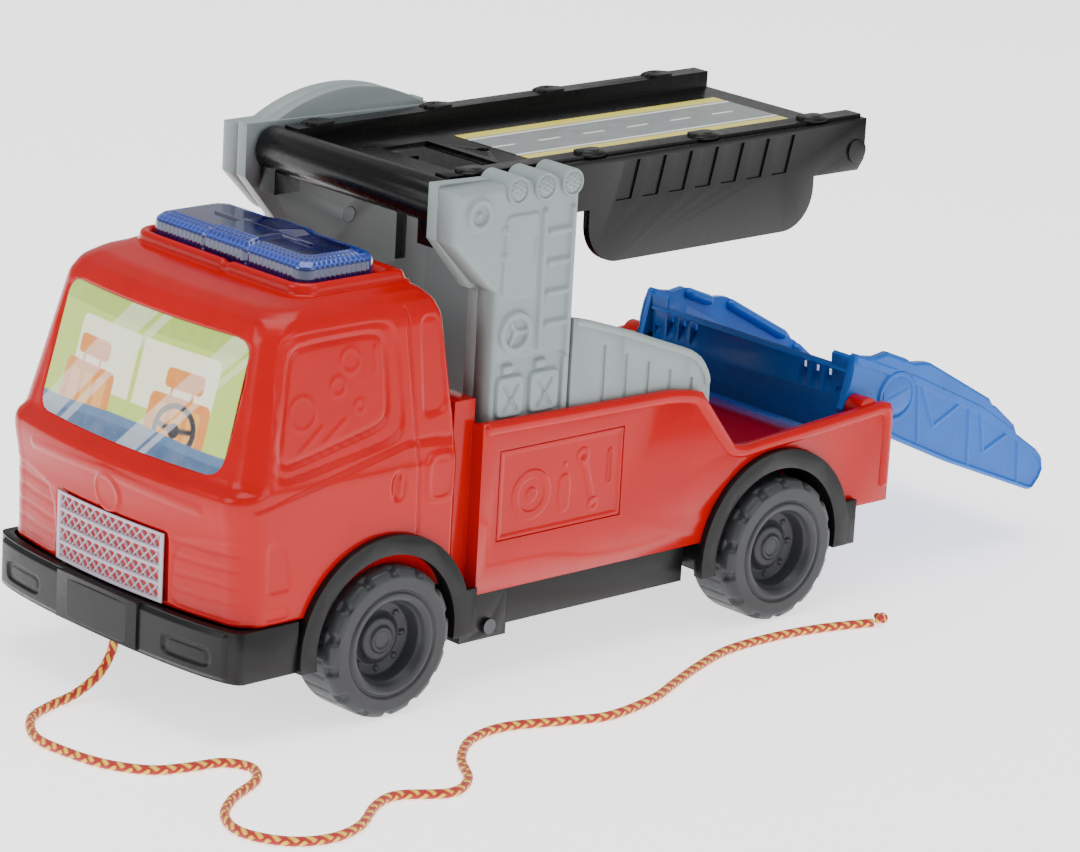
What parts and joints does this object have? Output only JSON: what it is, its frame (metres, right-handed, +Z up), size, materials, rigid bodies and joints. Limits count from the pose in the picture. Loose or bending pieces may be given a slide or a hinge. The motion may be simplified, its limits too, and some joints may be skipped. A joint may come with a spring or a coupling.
{
  "type": "toy tow truck",
  "caption": "Pull-along toy truck with a cab, an upper deck that tilts between two towers, a folding loading ramp, a press-down light bar and a pull cord.",
  "frame": {"origin": "on the ground, at the centre of the truck's footprint without its cord", "axes": "+X forwards, +Y to the truck's left, +Z up"},
  "size_m": [0.4664, 0.2258, 0.19],
  "materials": {
    "red_plastic": "gloss moulded ABS",
    "black_plastic": "satin moulded plastic",
    "grey_plastic": "satin moulded plastic",
    "blue_plastic": "satin moulded plastic",
    "wheel_plastic": "satin moulded plastic",
    "steel": "bright",
    "lens_plastic": "clear tinted, faceted",
    "silver_plastic": "silver",
    "windscreen_print": "gloss film",
    "deck_print": "gloss film",
    "circuit_board": "lacquered",
    "white_plastic": "gloss",
    "silicone": "matte",
    "inner_plastic": "matte",
    "battery_can": "gloss",
    "braided_cord": "braided red and yellow"
  },
  "bodies": {
    "truck": {"chassis_tub": "black_plastic", "front_bumper": "black_plastic", "cab_shell": "red_plastic", "windscreen_label": "windscreen_print", "grille_insert": "silver_plastic", "bed_tub": "red_plastic", "tower_left_outer": "grey_plastic", "tower_left_inner": "grey_plastic", "tower_right_outer": "grey_plastic", "tower_right_inner": "grey_plastic", "side_panel_left": "grey_plastic", "side_panel_right": "grey_plastic", "front_fender_left": "black_plastic", "front_fender_right": "black_plastic", "rear_fender_left": "black_plastic", "rear_fender_right": "black_plastic", "tower_screws": "steel", "chassis_screws": "steel", "side_box_screws": "steel", "battery_box": "inner_plastic", "batteries": "battery_can", "battery_contacts": "steel", "battery_door": "black_plastic", "battery_door_screw": "steel", "speaker": "inner_plastic", "circuit_board": "circuit_board", "board_screws": "steel", "led_lamps": "white_plastic", "switch_dome": "silicone", "slide_switch_body": "inner_plastic", "deck_pivot_pins": "steel", "ramp_hinge_pins": "steel", "pull_cord": "braided_cord", "cord_anchor_knot": "braided_cord", "cord_end_knot": "braided_cord"},
    "front_wheelset": {"front_axle": "steel", "front_wheel_left": "wheel_plastic", "front_wheel_right": "wheel_plastic"},
    "rear_wheelset": {"rear_axle": "steel", "rear_wheel_left": "wheel_plastic", "rear_wheel_right": "wheel_plastic"},
    "deck": {"deck_tray": "black_plastic", "deck_skirt_left": "black_plastic", "deck_skirt_right": "black_plastic", "deck_label": "deck_print"},
    "ramp": {"ramp_body": "blue_plastic"},
    "light_bar": {"light_bar_lens": "lens_plastic"},
    "power_switch": {"slide_switch_knob": "white_plastic"}
  },
  "joints": [
    {"name": "front_wheels_roll", "type": "hinge", "parent": "truck", "child": "front_wheelset", "pos_m": [0.13865, 0, 0.027], "axis": [0, 1, 0], "continuous": true},
    {"name": "rear_wheels_roll", "type": "hinge", "parent": "truck", "child": "rear_wheelset", "pos_m": [-0.05035, 0, 0.027], "axis": [0, 1, 0], "continuous": true},
    {"name": "deck_tilt", "type": "hinge", "parent": "truck", "child": "deck", "pos_m": [0.10115, 0, 0.1725], "axis": [0, -1, 0], "range_deg": [0, 25]},
    {"name": "ramp_fold", "type": "hinge", "parent": "truck", "child": "ramp", "pos_m": [-0.09935, 0, 0.0715], "axis": [0, -1, 0], "range_deg": [-95, 11.5]},
    {"name": "light_bar_press", "type": "slide", "parent": "truck", "child": "light_bar", "axis": [0, 0, -1], "range_m": [0, 0.0016], "stiffness_N_per_m": 600, "springref_m": -0.001, "deforming": ["switch_dome"]},
    {"name": "power_switch_slide", "type": "slide", "parent": "truck", "child": "power_switch", "axis": [1, 0, 0], "range_m": [0, 0.005]}
  ]
}
